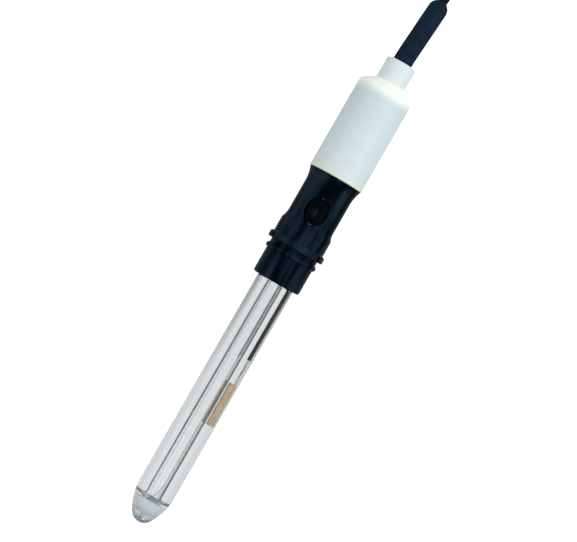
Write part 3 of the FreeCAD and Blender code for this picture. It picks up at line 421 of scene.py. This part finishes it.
curve = bpy.data.curves.new("cable", "CURVE")
curve.dimensions = "3D"
spline = curve.splines.new("NURBS")
spline.points.add(len(route) - 1)
for point, place in zip(spline.points, route):
    point.co = [c / 1000 for c in place] + [1.0]
spline.order_u = 3
spline.use_endpoint_u = True
spline.resolution_u = 6
curve.bevel_depth = 0.0015
curve.bevel_resolution = 5
curve.materials.append(jacket)
cable = bpy.data.objects.new("cable", curve)
bpy.context.scene.collection.objects.link(cable)
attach(cable, "electrode")
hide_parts("cable_lead", "cable_hank", "cable_tail")


# Strap, in millimetres. It has a full or a smaller share of its thickness over its width.
STRAP_LOW, STRAP_HIGH = 0.25, 14.45
STRAP_HALF = 13.4
STRAP_CORNER = 2.2
STRAP_HALF_THICK = 0.22
STRAP_SHARES = ((-2.5, 0.6), (-2.3, 1.0), (2.3, 1.0), (2.5, 0.6))
CORNER_STEPS = 8


def strap_loop():
    """The middle line of the strap round the hank, with the direction outward at each point."""
    side = STRAP_HALF - STRAP_CORNER
    bottom, top = STRAP_LOW + STRAP_CORNER, STRAP_HIGH - STRAP_CORNER
    corners = [(side, bottom, -90), (side, top, 0), (-side, top, 90), (-side, bottom, 180)]
    for y, z, first in corners:
        for step in range(CORNER_STEPS + 1):
            angle = math.radians(first + step * 90 / CORNER_STEPS)
            out = Vector((0, math.cos(angle), math.sin(angle)))
            yield Vector((0, y, z)) + out * STRAP_CORNER, out


def strap_piece():
    """The strap round the hank, a closed flat band with thin edges."""
    points, faces = [], []
    for place, out in strap_loop():
        for thick in (STRAP_HALF_THICK, -STRAP_HALF_THICK):
            for width, share in STRAP_SHARES:
                across = Vector((HANK_X + width, 0, 0))
                points.append((place + out * thick * share + across) / 1000)
    ring = [0, 1, 2, 3, 7, 6, 5, 4]
    count = len(points) // len(ring)
    for i in range(count):
        here, there = i * len(ring), (i + 1) % count * len(ring)
        for a, b in zip(ring, ring[1:] + ring[:1]):
            faces.append((here + a, here + b, there + b, there + a))
    mesh = bpy.data.meshes.new("hank_strap")
    mesh.from_pydata([tuple(p) for p in points], [], faces)
    mesh.update()
    mesh.materials.append(strap)
    piece = bpy.data.objects.new("hank_strap", mesh)
    bpy.context.scene.collection.objects.link(piece)
    return piece


strap_object = strap_piece()
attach(strap_object, "electrode")
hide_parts("hank_tie")


# Floor, white to the camera and still holding the object's shadow. What glass and metal show
# of it grows darker away from the object, as on a small light table.
FLOOR = 3.0
FLOOR_GREY = (0.8, 0.8, 0.8, 1)
FLOOR_GLOW = 0.78
TABLE_COLOUR = (0.96, 0.98, 1.0, 1)
TABLE_REACH = 0.040
TABLE_LEVELS = [(0.0, 0.76), (0.05, 0.76), (0.08, 0.73), (0.30, 0.73), (1.0, 0.36)]


def mixed(tree, factor, one, other):
    node = tree.nodes.new("ShaderNodeMixShader")
    tree.links.new(factor, node.inputs["Fac"])
    tree.links.new(one, node.inputs[1])
    tree.links.new(other, node.inputs[2])
    return node.outputs[0]


def floor_material():
    material, tree, out = empty_material("studio floor")
    diffuse = tree.nodes.new("ShaderNodeBsdfDiffuse")
    diffuse.inputs["Color"].default_value = FLOOR_GREY
    glow = tree.nodes.new("ShaderNodeEmission")
    glow.inputs["Strength"].default_value = FLOOR_GLOW
    lit = tree.nodes.new("ShaderNodeAddShader")
    tree.links.new(diffuse.outputs[0], lit.inputs[0])
    tree.links.new(glow.outputs[0], lit.inputs[1])
    split = tree.nodes.new("ShaderNodeSeparateXYZ")
    tree.links.new(place_of(tree), split.inputs[0])
    side = tree.nodes.new("ShaderNodeMath")
    side.operation = "ABSOLUTE"
    tree.links.new(split.outputs["Y"], side.inputs[0])
    across = mapped(tree, side.outputs[0], 0.0, TABLE_REACH)
    levels = ramp(tree, across, [(at, (level, level, level, 1.0)) for at, level in TABLE_LEVELS])
    table = tree.nodes.new("ShaderNodeEmission")
    table.inputs["Color"].default_value = TABLE_COLOUR
    tree.links.new(levels, table.inputs["Strength"])
    path = tree.nodes.new("ShaderNodeLightPath").outputs
    plain = mixed(tree, path["Is Camera Ray"], diffuse.outputs[0], lit.outputs[0])
    shown = combined(tree, "MAXIMUM", path["Is Transmission Ray"], path["Is Glossy Ray"])
    tree.links.new(mixed(tree, shown, plain, table.outputs[0]), out.inputs["Surface"])
    return material


floor_mesh = bpy.data.meshes.new("studio_floor")
floor_mesh.from_pydata(
    [(-FLOOR, -FLOOR, 0), (FLOOR, -FLOOR, 0), (FLOOR, FLOOR, 0), (-FLOOR, FLOOR, 0)],
    [], [(0, 1, 2, 3)],
)
floor_mesh.materials.append(floor_material())
floor = bpy.data.objects.new("studio_floor", floor_mesh)
bpy.context.scene.collection.objects.link(floor)

# World: white to the camera and in what glass and metal show, dimmer as a light
WORLD_LIGHT = 0.48
WORLD_SHOWN = 1.0
world = bpy.data.worlds.new("studio")
world.use_nodes = True
bpy.context.scene.world = world
tree = world.node_tree
background = tree.nodes["Background"]
background.inputs["Color"].default_value = (1, 1, 1, 1)
path = tree.nodes.new("ShaderNodeLightPath").outputs
straight = combined(tree, "MAXIMUM", path["Is Camera Ray"], path["Is Glossy Ray"])
shown = combined(tree, "MAXIMUM", straight, path["Is Transmission Ray"])
strength = mapped(tree, shown, 0.0, 1.0, WORLD_LIGHT, WORLD_SHOWN)
tree.links.new(strength, background.inputs["Strength"])

# Lamps: name, metres up, to the side and along from the electrode's middle, and watts. Each is
# off the electrode's cross plane by more than its half size, or the glass shows it as a streak.
LAMP_SIZE = 0.5
LAMPS = [
    ("key", 0.66, -0.70, 0.38, 5.6),
    ("fill", 0.76, 0.62, -0.38, 3.0),
    ("top", 0.6, 0.0, 0.95, 2.6),
]
middle = station(90)
for name, up, side, ahead, power in LAMPS:
    data = bpy.data.lights.new(name, "AREA")
    data.shape = "RECTANGLE"
    data.size = data.size_y = LAMP_SIZE
    data.energy = power
    light = bpy.data.objects.new(name, data)
    light.location = middle + UP * up + SIDE * side + ALONG * ahead
    light.rotation_euler = (light.location - middle).to_track_quat("Z", "Y").to_euler()
    bpy.context.scene.collection.objects.link(light)

bpy.context.scene.view_settings.view_transform = "Standard"
